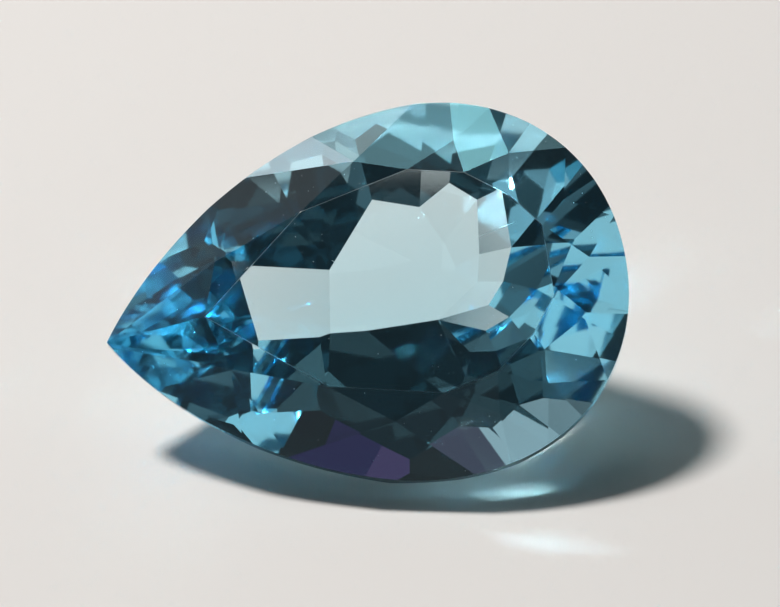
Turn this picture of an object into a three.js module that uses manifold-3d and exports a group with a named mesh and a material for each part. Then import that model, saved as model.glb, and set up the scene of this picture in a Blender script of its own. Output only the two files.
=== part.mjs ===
// A pear-cut topaz lying on a facet of its flank, with the table tilted up.
// Millimetres, +Z up. The stone is cut in its own frame and then laid down.
//
// Cutting frame: origin at the centre of the round head in the girdle plane, +X towards
// the point, +Y towards the flank it lies on, +Z out of the table. Each facet is stated
// for the +Y side and mirrored in Y. Only the flat that the stone lies on is cut on the
// +Y side alone.
// An azimuth is in degrees in the girdle plane, from +Y (the flank) towards the head:
// 90 is the end of the head, and a negative azimuth leans towards the point.

import * as THREE from 'three';
import { mergeVertices } from 'three/addons/utils/BufferGeometryUtils.js';
import Module from 'manifold-3d';

// Girdle outline
const halfWidth = 7.5;
const headLength = 7.4; // head centre to the rounded end
const pointLength = 12.56; // head centre to the point
const headSquareness = 2.1; // exponent of the head's superellipse, 2 is a true ellipse
const flankRelief = 2.62; // how much the flanks are drawn in from plain arcs
const outlineSteps = 56; // straight steps in each quarter of the outline

// Heights from the girdle plane
const tableHeight = 1.34;
const crownLine = 0.225; // where the crown facets meet the girdle
const pavilionLine = 0.135; // the same below, as a depth
const pointLine = 0.3; // deeper at the point, so that the edge there keeps a girdle
const pavilionDepth = 7.16;

// Crown. Table corners run from the point to the head.
const tableCorners = [
  [8.66, 0],
  [4.49, 3.51],
  [0.22, 4.5],
  [-1.88, 4.01],
  [-3.45, 2.78],
  [-4.46, 1.42],
];
const tipStarPoint = [8.1, 1.99, 1.16]; // lower corner of the star facet by the point
const starHeights = [1.16, 1.16, 0.885, 0.855, 0.855, 0.855];
const mainAzimuths = [-48.5, 3, 25.7, 51.4, 77.1]; // where the mains touch the girdle
const mainFacings = [-28, 7, 25.7, 51.4, 77.1]; // which way they face
const breakAzimuths = [-59.7, -28, 14, 38.55, 64.25, 90]; // where upper girdle pairs meet

// Pavilion of the head: three tiers of facets round the culet, then the breaks
const firstTierSlope = 34.0;
const secondTierSlope = 39.8;
const firstTierAzimuths = [15, 45, 75];
const secondTierAzimuths = [30, 60, 90];
const firstTierReach = 2.02; // culet to the corner between two first-tier facets
const thirdTierReach = [4.09, 4.5, 3.75, 3.94]; // culet to the third tier's outer corners
const thirdTierAzimuths = [0, 30, 60, 90];
const tierStep = 30;
const pavilionBreaks = [
  [7.5, 0],
  [22.5, 1],
  [37.5, 1],
  [52.5, 2],
  [67.5, 2],
  [82.5, 3],
]; // azimuth of each break, and the third-tier corner it starts from

// Pavilion of the point: the long flank facets, and the steps that close on the keel
const flankSlope = 35.5;
const flankAzimuth = -5;
const keelStart = 4.25; // from the head centre, where the flank facets leave the keel
const keelEnd = [6.99, -5.29]; // distance and height where the point facets begin
const stepGradient = 0.8; // rise per millimetre out from the keel
const pointGradient = 0.76;
const flankBreakCorner = [1.76, 4.61];
const stepCornerOut = 2.36;
const stepEnd = [7.24, 2.7];
const lowerGirdle = [
  [-5, 57],
  [-24, 58],
  [-38, 58],
]; // azimuth and slope of the narrow facets under the girdle

// The flat that the stone lies on
const restingAzimuth = -12.6;
const restingSlope = 39.2;
const restingCut = 0.25; // how far it cuts in below the corner between flank, step and break

const radians = THREE.MathUtils.degToRad;
const gradientOf = (degrees) => Math.tan(radians(degrees));
const facing = (azimuth) => [-Math.sin(radians(azimuth)), Math.cos(radians(azimuth))];
const point = (coordinates) => new THREE.Vector3(...coordinates);

// Closed girdle outline, from the end of the head round to the point and back.
function girdleOutline(steps) {
  const flankRadius = (pointLength ** 2 + halfWidth ** 2) / (2 * halfWidth);
  const side = [];
  for (let i = 0; i < steps; i += 1) {
    const turn = (Math.PI / 2) * (i / steps);
    const x = -headLength * Math.cos(turn) ** (2 / headSquareness);
    side.push([x, halfWidth * Math.sin(turn) ** (2 / headSquareness)]);
  }
  for (let i = 0; i <= steps; i += 1) {
    const along = i / steps;
    const x = pointLength * along;
    const arc = Math.sqrt(flankRadius ** 2 - x ** 2) - (flankRadius - halfWidth);
    side.push([x, Math.max(0, arc - flankRelief * along ** 2 * (1 - along))]);
  }
  const mirrored = side.slice(1, -1).reverse().map(([x, y]) => [x, -y]);
  return [...side, ...mirrored];
}

const outline = girdleOutline(outlineSteps);

// Where a ray from the head centre at this azimuth crosses the outline.
function outlinePoint(azimuth) {
  const [u, v] = facing(azimuth);
  for (let i = 0; i < outline.length; i += 1) {
    const [ax, ay] = outline[i];
    const [bx, by] = outline[(i + 1) % outline.length];
    const sideA = u * ay - v * ax;
    const sideB = u * by - v * bx;
    const ahead = u * (ax + bx) + v * (ay + by) > 0;
    if (ahead && sideA * sideB <= 0 && sideA !== sideB) {
      const t = sideA / (sideA - sideB);
      return [ax + t * (bx - ax), ay + t * (by - ay)];
    }
  }
  throw new Error(`no outline point at azimuth ${azimuth}`);
}

// The outline point that lies farthest out in this direction.
function farthestPoint(azimuth) {
  const [u, v] = facing(azimuth);
  return outline.reduce((best, p) => (u * p[0] + v * p[1] > u * best[0] + v * best[1] ? p : best));
}

// A facet plane through three points, with its normal out of the stone.
function facetThrough(a, b, c) {
  const plane = new THREE.Plane().setFromCoplanarPoints(a, b, c);
  return plane.constant > 0 ? plane.negate() : plane;
}

// A pavilion plane that faces one azimuth with a given gradient and passes through a point.
function facetFacing(azimuth, through, gradient) {
  const [u, v] = facing(azimuth);
  const normal = new THREE.Vector3(u * gradient, v * gradient, -1).normalize();
  return new THREE.Plane().setFromNormalAndCoplanarPoint(normal, through);
}

// The gradient at which a pavilion plane from this point just reaches the girdle.
function gradientToGirdle(azimuth, from) {
  const [u, v] = facing(azimuth);
  const [x, y] = farthestPoint(azimuth);
  return (-pavilionLine - from.z) / (u * x + v * y - (u * from.x + v * from.y));
}

// A pavilion plane with a given slope that just reaches the girdle.
function facetFromGirdle([azimuth, slope]) {
  const foot = point([...farthestPoint(azimuth), -pavilionLine]);
  return facetFacing(azimuth, foot, gradientOf(slope));
}

// A plane through two pavilion points that just reaches the girdle. Its azimuth is found
// by halving the range in which the second point changes side.
function facetAlongEdge(a, b, azimuthRange) {
  const planeAt = (azimuth) => facetFacing(azimuth, a, gradientToGirdle(azimuth, a));
  const sideAt = (azimuth) => planeAt(azimuth).distanceToPoint(b);
  let [low, high] = azimuthRange;
  const lowSide = Math.sign(sideAt(low));
  const halvings = 40;
  for (let i = 0; i < halvings; i += 1) {
    const middle = (low + high) / 2;
    if (Math.sign(sideAt(middle)) === lowSide) {
      low = middle;
    } else {
      high = middle;
    }
  }
  return planeAt((low + high) / 2);
}

// The point that two facets share at one height.
function meetAtHeight(first, second, z) {
  const a = first.normal;
  const b = second.normal;
  const p = -first.constant - a.z * z;
  const q = -second.constant - b.z * z;
  const det = a.x * b.y - a.y * b.x;
  return new THREE.Vector3((p * b.y - q * a.y) / det, (a.x * q - b.x * p) / det, z);
}

function mirrorPoint(p) {
  return new THREE.Vector3(p.x, -p.y, p.z);
}

function mirrorPlane(plane) {
  return new THREE.Plane(mirrorPoint(plane.normal), plane.constant);
}

function crownFacets() {
  const corners = tableCorners.map(([x, y]) => new THREE.Vector3(x, y, tableHeight));
  const onGirdle = (azimuth) => point([...outlinePoint(azimuth), crownLine]);
  const mainFeet = mainAzimuths.map(onGirdle);
  const breakFeet = breakAzimuths.map(onGirdle);
  const tip = new THREE.Vector3(pointLength, 0, crownLine);
  const last = corners.length - 1;

  const mains = [facetThrough(corners[0], tip, point(tipStarPoint))];
  mainFeet.forEach((foot, i) => {
    const [u, v] = facing(mainFacings[i]);
    const along = new THREE.Vector3(v, -u, 0).add(foot);
    mains.push(facetThrough(corners[i + 1], foot, along));
  });

  const starPoints = mains.map((main, i) => {
    const next = i < last ? mains[i + 1] : mirrorPlane(main);
    return meetAtHeight(main, next, starHeights[i]);
  });
  const stars = corners.map((corner, i) => {
    const next = i < last ? corners[i + 1] : mirrorPoint(corner);
    return facetThrough(corner, next, starPoints[i]);
  });

  const upperGirdle = [];
  starPoints.forEach((star, i) => {
    const left = i === 0 ? tip : mainFeet[i - 1];
    upperGirdle.push(facetThrough(left, breakFeet[i], star));
    if (i < last) {
      upperGirdle.push(facetThrough(breakFeet[i], mainFeet[i], star));
    }
  });

  const table = new THREE.Plane(new THREE.Vector3(0, 0, 1), -tableHeight);
  return [table, ...mains, ...stars, ...upperGirdle];
}

function headPavilionFacets(culet, flankHeight) {
  const first = gradientOf(firstTierSlope);
  const second = gradientOf(secondTierSlope);
  const lean = Math.cos(radians(tierStep / 2));
  const around = (reach, azimuth, z) => {
    const [u, v] = facing(azimuth);
    return new THREE.Vector3(u * reach, v * reach, z);
  };

  const firstCornerZ = culet.z + firstTierReach * lean * first;
  const secondCornerReach = (firstTierReach * (second - lean * first)) / (lean * second - first);
  const secondCornerZ = culet.z + secondCornerReach * first;

  const tiers = [
    ...firstTierAzimuths.map((azimuth) => facetFacing(azimuth, culet, first)),
    ...secondTierAzimuths.map((azimuth) =>
      facetFacing(azimuth, around(firstTierReach, azimuth, firstCornerZ), second),
    ),
  ];

  const corners = thirdTierReach.map((reach, i) => {
    const z = firstCornerZ + (reach - firstTierReach) * second;
    return around(reach, thirdTierAzimuths[i], z);
  });
  corners[0].z = flankHeight(corners[0].x, corners[0].y);
  firstTierAzimuths.forEach((azimuth, i) => {
    const inner = around(secondCornerReach, azimuth, secondCornerZ);
    tiers.push(facetThrough(corners[i], corners[i + 1], inner));
  });

  const breaks = pavilionBreaks.map(([azimuth, corner]) => {
    const from = corners[corner];
    return facetFacing(azimuth, from, gradientToGirdle(azimuth, from));
  });
  return { facets: [...tiers, ...breaks], flankCorner: corners[0] };
}

function pointPavilionFacets(flank, flankHeight, flankCorner) {
  const onFlank = (x, y) => new THREE.Vector3(x, y, flankHeight(x, y));
  const out = (p, gradient) => new THREE.Vector3(p.x, p.y + 1, p.z + gradient);
  const start = onFlank(keelStart, 0);
  const end = new THREE.Vector3(keelEnd[0], 0, keelEnd[1]);
  const tip = new THREE.Vector3(pointLength, 0, -pointLine);
  const step = facetThrough(start, end, out(start, stepGradient));
  const pointFacet = facetThrough(end, tip, out(end, pointGradient));

  const keelRise = (end.z - start.z) / (end.x - start.x);
  const flankRise = flankHeight(1, 0) - flankHeight(0, 0);
  const flankRiseOut = flankHeight(0, 1) - flankHeight(0, 0);
  const stepOut = (stepGradient - flankRiseOut) * stepCornerOut;
  const stepCorner = onFlank(keelStart - stepOut / (keelRise - flankRise), stepCornerOut);
  const breakCorner = onFlank(...flankBreakCorner);
  const [endX, endY] = stepEnd;
  const endZ = start.z + keelRise * (endX - keelStart) + stepGradient * endY;
  const stepTail = new THREE.Vector3(endX, endY, endZ);

  const breaks = [
    facetAlongEdge(breakCorner, flankCorner, [-30, 30]),
    facetAlongEdge(stepCorner, breakCorner, [-60, 10]),
    facetAlongEdge(stepCorner, stepTail, [-70, 0]),
  ];
  const lower = lowerGirdle.map(facetFromGirdle);
  return { facets: [flank, step, pointFacet, ...breaks, ...lower], stepCorner };
}

const culet = new THREE.Vector3(0, 0, -pavilionDepth);
const flankFacet = facetFacing(flankAzimuth, culet, gradientOf(flankSlope));
const flankHeight = (x, y) => {
  const { normal, constant } = flankFacet;
  return -(constant + normal.x * x + normal.y * y) / normal.z;
};
const head = headPavilionFacets(culet, flankHeight);
const tail = pointPavilionFacets(flankFacet, flankHeight, head.flankCorner);
const facets = [...crownFacets(), ...head.facets, ...tail.facets];
const restingFacet = facetFacing(restingAzimuth, tail.stepCorner, gradientOf(restingSlope));
restingFacet.constant += restingCut;

const wasm = await Module();
wasm.setup();

function toSolid(geometry) {
  geometry.deleteAttribute('normal');
  geometry.deleteAttribute('uv');
  const merged = mergeVertices(geometry);
  return new wasm.Manifold(
    new wasm.Mesh({
      numProp: 3,
      vertProperties: new Float32Array(merged.attributes.position.array),
      triVerts: new Uint32Array(merged.index.array),
    }),
  );
}

// The preform is a prism of the girdle outline, deeper and higher than the finished stone.
const preformMargin = 1;
const preformDepth = pavilionDepth + preformMargin;
const preformHeight = preformDepth + tableHeight + preformMargin;
const preformShape = new THREE.Shape(outline.map(([x, y]) => new THREE.Vector2(x, y)));
const preform = new THREE.ExtrudeGeometry(preformShape, {
  depth: preformHeight,
  bevelEnabled: false,
});
preform.translate(0, 0, -preformDepth);
let stone = toSolid(preform);

// Grinding one facet takes away everything beyond its plane.
const lapSize = 60;
const zAxis = new THREE.Vector3(0, 0, 1);
function grind(plane) {
  const turn = new THREE.Quaternion().setFromUnitVectors(zAxis, plane.normal);
  const centre = plane.normal.clone().multiplyScalar(lapSize / 2 - plane.constant);
  const lap = new THREE.BoxGeometry(lapSize, lapSize, lapSize);
  lap.applyQuaternion(turn);
  lap.translate(centre.x, centre.y, centre.z);
  stone = stone.subtract(toSolid(lap));
}

const symmetricLimit = 1e-9;
grind(restingFacet);
facets.forEach((plane) => {
  grind(plane);
  if (Math.abs(plane.normal.y) > symmetricLimit) {
    grind(mirrorPlane(plane));
  }
});

const { vertProperties, triVerts } = stone.getMesh();
const geometry = new THREE.BufferGeometry();
geometry.setAttribute('position', new THREE.BufferAttribute(vertProperties, 3));
geometry.setIndex(new THREE.BufferAttribute(triVerts, 1));

const topaz = new THREE.MeshStandardMaterial({ color: 0x2f9fcb, roughness: 0.05, metalness: 0 });
const gem = new THREE.Mesh(geometry, topaz);
gem.name = 'faceted_topaz';

// Laid down on the resting facet: that facet faces straight down, the point lies towards -X
// and the table leans towards -Y.
const up = restingFacet.normal.clone().negate();
const towardsHead = new THREE.Vector3(-1, 0, 0).projectOnPlane(up).normalize();
const back = new THREE.Vector3().crossVectors(up, towardsHead);
const cuttingAxes = new THREE.Matrix4().makeBasis(towardsHead, back, up);
gem.quaternion.setFromRotationMatrix(cuttingAxes.transpose());
gem.updateMatrixWorld(true);

// The origin is under the middle of the stone, on the surface it lies on.
const box = new THREE.Box3().setFromObject(gem, true);
const middle = box.getCenter(new THREE.Vector3());
gem.position.set(-middle.x, -middle.y, -box.min.z);

const group = new THREE.Group();
group.add(gem);

export default group;
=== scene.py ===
import math

import bpy
from mathutils import Matrix, Vector

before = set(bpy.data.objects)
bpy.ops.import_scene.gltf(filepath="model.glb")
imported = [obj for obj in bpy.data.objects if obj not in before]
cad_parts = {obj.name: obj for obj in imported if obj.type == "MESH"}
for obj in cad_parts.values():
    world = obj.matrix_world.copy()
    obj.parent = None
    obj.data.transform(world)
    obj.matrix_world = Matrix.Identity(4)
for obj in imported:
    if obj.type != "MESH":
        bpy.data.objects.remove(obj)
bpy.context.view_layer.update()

scene = bpy.context.scene
millimetre = 0.001


def linearFromHex(text):  # sRGB hex to the linear values that shaders use
    channels = [int(text[i:i + 2], 16) / 255 for i in (1, 3, 5)]
    return [c / 12.92 if c <= 0.04045 else ((c + 0.055) / 1.055) ** 2.4 for c in channels]


def directionFrom(turn, height):  # degrees right of straight behind the stone, and above the floor
    side, up = math.radians(turn), math.radians(height)
    return Vector((math.sin(side) * math.cos(up), math.cos(side) * math.cos(up), math.sin(up)))


def addNode(tree, kind, settings=None, links=None):  # a setting or link names a socket, or gives its number
    node = tree.nodes.new(kind)
    for name, value in (settings or {}).items():
        if isinstance(name, int) or name in node.inputs:
            node.inputs[name].default_value = value
        else:
            setattr(node, name, value)
    for name, source in (links or {}).items():
        tree.links.new(source, node.inputs[name])
    return node


def newMaterial(name):
    material = bpy.data.materials.new(name)
    material.use_nodes = True
    material.node_tree.nodes.clear()
    return material, material.node_tree


camera = {
    "aim": (0.00088, -0.00016, 0.00538),
    "distance": 0.15,
    "elevation": 33.08,  # degrees above the floor
    "turn": 4.41,  # degrees off straight ahead
    "roll": -0.42,
    "lens": 182.1,
    "sensor": 36,
    "nearest": 0.01,
}


def placeCamera():
    forward = -directionFrom(180 + camera["turn"], camera["elevation"])
    level = forward.cross(Vector((0, 0, 1))).normalized()
    rise = level.cross(forward)
    roll = math.radians(camera["roll"])
    right = level * math.cos(roll) + rise * math.sin(roll)
    data = bpy.data.cameras.new("stoneCamera")
    data.lens = camera["lens"]
    data.sensor_width = camera["sensor"]
    data.clip_start = camera["nearest"]
    obj = bpy.data.objects.new("stoneCamera", data)
    scene.collection.objects.link(obj)
    axes = Matrix((right, right.cross(forward), -forward)).transposed().to_4x4()
    obj.matrix_world = Matrix.Translation(Vector(camera["aim"]) - forward * camera["distance"]) @ axes
    scene.camera = obj


placeCamera()
print("camera placed")


topaz = {
    "refraction": 1.62,  # typical of topaz
    "tint": "#6ee8fc",  # what the stone lets through
    "depth": 68.0,  # absorption per metre
    "polish": 0.035,  # roughness, the faint haze that a lap leaves
    "clearFacet": (-0.301, -0.322, 0.898),  # outward direction of the one facet without that haze
    "sameFacing": 0.998,  # cosine above which a facet is the clear one
}
wear = {
    "scratches": [  # from, to and width in millimetres, all on the table
        ((4.14, 0.19, 7.92), (5.69, 0.48, 8.36), 0.035),
        ((-4.66, 0.36, 6.83), (-4.45, 0.46, 6.93), 0.04),
        ((-1.28, 0.24, 7.20), (-1.16, 0.14, 7.14), 0.03),
    ],
    "scratchHaze": 0.3,
    "edgeWidth": 0.03,  # the rubbed line along the table's edge
    "edgeHaze": 0.35,
    "dustSpacing": 0.2,  # millimetres
    "dustSize": 0.03,
    "dustShare": 0.1,  # how many of the places hold a speck
    "dustHaze": 0.7,
    "scuffs": [  # middle and reach in millimetres, on the pavilion
        ((-5.9, 2.6, 2.8), 1.0),
        ((5.9, 4.8, 6.5), 0.8),
        ((3.6, -0.7, 0.2), 0.7),
    ],
    "scuffCore": 3,  # a scuff is at its full strength within this part of its reach
    "scuffGrain": 0.09,
    "scuffDetail": 2.0,
    "scuffCover": (0.5, 0.68),  # noise levels where a grain starts and where it is full
    "scuffHaze": 0.22,
}


def tableEdges(stone):  # the sides of the largest facet, in millimetres
    flat = 2e-6  # metres that a corner may lie off the table's plane
    table = max(stone.data.polygons, key=lambda face: face.area)
    spots = [vertex.co for vertex in stone.data.vertices]
    onTable = [spot for spot in spots if abs(table.normal.dot(spot - table.center)) < flat]
    corners = [Vector(place) for place in {tuple(round(c / millimetre, 3) for c in spot) for spot in onTable}]
    middle = sum(corners, Vector()) / len(corners)
    across = (corners[0] - middle).normalized()
    up = table.normal.cross(across)
    corners.sort(key=lambda corner: math.atan2(up.dot(corner - middle), across.dot(corner - middle)))
    return [(corners[i - 1], corner, wear["edgeWidth"]) for i, corner in enumerate(corners)]


def scratchMask(tree, place, scratch):  # 1 on the line between two points, 0 beside it
    start, end, width = Vector(scratch[0]), Vector(scratch[1]), scratch[2]
    run = end - start
    fromStart = addNode(tree, "ShaderNodeVectorMath", {"operation": "SUBTRACT", 1: start},
                        {0: place}).outputs["Vector"]
    reach = addNode(tree, "ShaderNodeVectorMath", {"operation": "DOT_PRODUCT", 1: run / run.length_squared},
                    {0: fromStart})
    along = addNode(tree, "ShaderNodeClamp", links={"Value": reach.outputs["Value"]})
    foot = addNode(tree, "ShaderNodeVectorMath", {"operation": "SCALE", 0: run},
                   {"Scale": along.outputs["Result"]})
    gap = addNode(tree, "ShaderNodeVectorMath", {"operation": "DISTANCE"},
                  {0: fromStart, 1: foot.outputs["Vector"]})
    return addNode(tree, "ShaderNodeMapRange", {"From Min": width / 2, "From Max": width / 4},
                   {"Value": gap.outputs["Value"]}).outputs["Result"]


def dustMask(tree, place):  # specks of one size, strewn at random
    speckReach = wear["dustSize"] / wear["dustSpacing"] / 2
    cells = addNode(tree, "ShaderNodeTexVoronoi", {"Scale": 1 / wear["dustSpacing"]}, {"Vector": place})
    speck = addNode(tree, "ShaderNodeMath", {"operation": "LESS_THAN", 1: speckReach},
                    {0: cells.outputs["Distance"]})
    chance = addNode(tree, "ShaderNodeSeparateColor", links={"Color": cells.outputs["Color"]})
    kept = addNode(tree, "ShaderNodeMath", {"operation": "LESS_THAN", 1: wear["dustShare"]},
                   {0: chance.outputs["Red"]})
    return addNode(tree, "ShaderNodeMath", {"operation": "MULTIPLY"},
                   {0: speck.outputs["Value"], 1: kept.outputs["Value"]}).outputs["Value"]


def scuffMask(tree, place, scuff):  # a grainy patch that fades out
    middle, reach = scuff
    bare, full = wear["scuffCover"]
    gap = addNode(tree, "ShaderNodeVectorMath", {"operation": "DISTANCE", 1: middle}, {0: place})
    fade = addNode(tree, "ShaderNodeMapRange", {"From Min": reach, "From Max": reach / wear["scuffCore"]},
                   {"Value": gap.outputs["Value"]})
    noise = addNode(tree, "ShaderNodeTexNoise", {
        "Scale": 1 / wear["scuffGrain"],
        "Detail": wear["scuffDetail"],
    }, {"Vector": place})
    grains = addNode(tree, "ShaderNodeMapRange", {"From Min": bare, "From Max": full},
                     {"Value": noise.outputs["Fac"]})
    return addNode(tree, "ShaderNodeMath", {"operation": "MULTIPLY"},
                   {0: fade.outputs["Result"], 1: grains.outputs["Result"]}).outputs["Value"]


def lapMask(tree):  # 1 on every facet but the clear one
    facing = addNode(tree, "ShaderNodeNewGeometry").outputs["True Normal"]
    match = addNode(tree, "ShaderNodeVectorMath", {"operation": "DOT_PRODUCT", 1: topaz["clearFacet"]},
                    {0: facing})
    return addNode(tree, "ShaderNodeMath", {"operation": "LESS_THAN", 1: topaz["sameFacing"]},
                   {0: match.outputs["Value"]}).outputs["Value"]


# Clear silicate crystal, lapped and polished: mirror-like facets, the floor seen through them,
# and a few fine marks that show as pale lines and specks.
def polishedTopaz(stone):
    material, tree = newMaterial("polishedTopaz")
    metres = addNode(tree, "ShaderNodeTexCoord").outputs["Object"]
    place = addNode(tree, "ShaderNodeVectorMath", {"operation": "SCALE", "Scale": 1 / millimetre},
                    {0: metres}).outputs["Vector"]
    marks = [(scratchMask(tree, place, scratch), wear["scratchHaze"]) for scratch in wear["scratches"]]
    marks += [(scratchMask(tree, place, side), wear["edgeHaze"]) for side in tableEdges(stone)]
    marks += [(scuffMask(tree, place, scuff), wear["scuffHaze"]) for scuff in wear["scuffs"]]
    marks.append((dustMask(tree, place), wear["dustHaze"]))
    marks.append((lapMask(tree), topaz["polish"]))
    haze = None
    for mask, strength in marks:  # the strongest mark wins
        layer = addNode(tree, "ShaderNodeMath", {"operation": "MULTIPLY", 1: strength},
                        {0: mask}).outputs["Value"]
        if haze is not None:
            layer = addNode(tree, "ShaderNodeMath", {"operation": "MAXIMUM"},
                            {0: haze, 1: layer}).outputs["Value"]
        haze = layer
    surface = addNode(tree, "ShaderNodeBsdfPrincipled", {
        "Base Color": (1, 1, 1, 1),
        "IOR": topaz["refraction"],
        "Transmission Weight": 1.0,
    }, {"Roughness": haze})
    body = addNode(tree, "ShaderNodeVolumeAbsorption", {
        "Color": (*linearFromHex(topaz["tint"]), 1),
        "Density": topaz["depth"],
    })
    addNode(tree, "ShaderNodeOutputMaterial", links={
        "Surface": surface.outputs["BSDF"],
        "Volume": body.outputs["Volume"],
    })
    return material


def dressStone():
    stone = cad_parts["faceted_topaz"]
    stone.data.materials.clear()
    stone.data.materials.append(polishedTopaz(stone))


dressStone()
print("stone dressed")


floor = {
    "colour": "#e9e3de",
    "roughness": 0.9,
    "radius": 1.5,
    "sides": 96,
    "drop": 0.00002,  # below the stone, so that the two faces don't share a plane
}


def paperFloor():  # uncoated card, rolled smooth: even and dull, with no shine
    material, tree = newMaterial("mattePaper")
    surface = addNode(tree, "ShaderNodeBsdfPrincipled", {
        "Base Color": (*linearFromHex(floor["colour"]), 1),
        "Roughness": floor["roughness"],
    })
    addNode(tree, "ShaderNodeOutputMaterial", links={"Surface": surface.outputs["BSDF"]})
    turns = [2 * math.pi * i / floor["sides"] for i in range(floor["sides"])]
    ring = [(floor["radius"] * math.cos(turn), floor["radius"] * math.sin(turn), 0) for turn in turns]
    mesh = bpy.data.meshes.new("paperFloor")
    mesh.from_pydata(ring, [], [list(range(floor["sides"]))])
    mesh.materials.append(material)
    obj = bpy.data.objects.new("paperFloor", mesh)
    scene.collection.objects.link(obj)
    obj.location.z = -floor["drop"]


lamp = {
    "turn": -49,  # behind the stone and to the left
    "height": 58,
    "distance": 0.5,
    "size": 0.096,
    "power": 2.45,
}


def softLamp():
    away = directionFrom(lamp["turn"], lamp["height"])
    data = bpy.data.lights.new("softLamp", "AREA")
    data.shape = "DISK"
    data.size = lamp["size"]
    data.energy = lamp["power"]
    obj = bpy.data.objects.new("softLamp", data)
    obj.location = away * lamp["distance"]
    obj.rotation_euler = away.to_track_quat("Z", "Y").to_euler()
    scene.collection.objects.link(obj)
    obj.visible_glossy = False  # the clear facet doesn't show the lamp as a white shape


room = {
    "colour": "#cfd8de",
    "strength": 0.03,
    "softEdge": 0.25,  # part of a card's reach over which it fades
    "cards": [  # turn, height, reach in degrees, colour, strength
        (-160, 15, 30, "#e8ecee", 0.17),
        (-40, 50, 26, "#e8ecee", 0.6),
        (24, 27, 2.5, "#b48ac8", 0.2),  # lilac, seen in the facets along the near edge
        (29.2, 28.2, 2.4, "#9c84d0", 0.12),
        (-9, 29.5, 3, "#b8a4c0", 0.18),
        (-39.3, 53.4, 1.6, "#e0f2fa", 7.0),  # small bright panes, mirrored by the far crown facets
        (-20.5, 51.5, 1.6, "#d0f2f8", 4.0),
        (-9.5, 67.6, 1.6, "#a0e0ee", 3.5),
        (9, 67.6, 1.6, "#9ce6f0", 9.0),
        (21, 70.5, 1.6, "#9ce6f0", 8.0),
        (50.8, 66.5, 1.6, "#a8e4f0", 2.0),
    ],
}
mixColour = {"below": 6, "above": 7, "result": 2}  # the mix node's sockets for colours


def dimRoom():  # dark room with soft pale patches and a few bright panes round the stone
    world = bpy.data.worlds.new("dimRoom")
    scene.world = world
    world.use_nodes = True
    tree = world.node_tree
    tree.nodes.clear()
    toward = addNode(tree, "ShaderNodeTexCoord").outputs["Generated"]
    colour = None
    for turn, height, reach, tone, strength in room["cards"]:
        middle = directionFrom(turn, height)
        near = addNode(tree, "ShaderNodeVectorMath", {"operation": "DOT_PRODUCT", 1: middle}, {0: toward})
        card = addNode(tree, "ShaderNodeMapRange", {
            "interpolation_type": "SMOOTHSTEP",
            "From Min": math.cos(math.radians(reach * (1 + room["softEdge"]))),
            "From Max": math.cos(math.radians(reach * (1 - room["softEdge"]))),
        }, {"Value": near.outputs["Value"]})
        lit = [c * strength for c in linearFromHex(tone)]
        layer = addNode(tree, "ShaderNodeMix", {"data_type": "RGBA", mixColour["above"]: (*lit, 1)},
                        {"Factor": card.outputs["Result"]})
        if colour is None:
            dim = [c * room["strength"] for c in linearFromHex(room["colour"])]
            layer.inputs[mixColour["below"]].default_value = (*dim, 1)
        else:
            tree.links.new(colour, layer.inputs[mixColour["below"]])
        colour = layer.outputs[mixColour["result"]]
    glow = addNode(tree, "ShaderNodeBackground", links={"Color": colour})
    addNode(tree, "ShaderNodeOutputWorld", links={"Surface": glow.outputs["Background"]})


bounces = {"all": 40, "mirrored": 32, "through": 32}  # light runs round inside the stone many times


def traceLight():
    scene.view_settings.view_transform = "Standard"
    scene.cycles.max_bounces = bounces["all"]
    scene.cycles.glossy_bounces = bounces["mirrored"]
    scene.cycles.transmission_bounces = bounces["through"]
    scene.cycles.sample_clamp_indirect = 0  # keeps the light that the stone throws on the floor
    scene.cycles.blur_glossy = 0


paperFloor()
softLamp()
dimRoom()
traceLight()
print("stage lit")
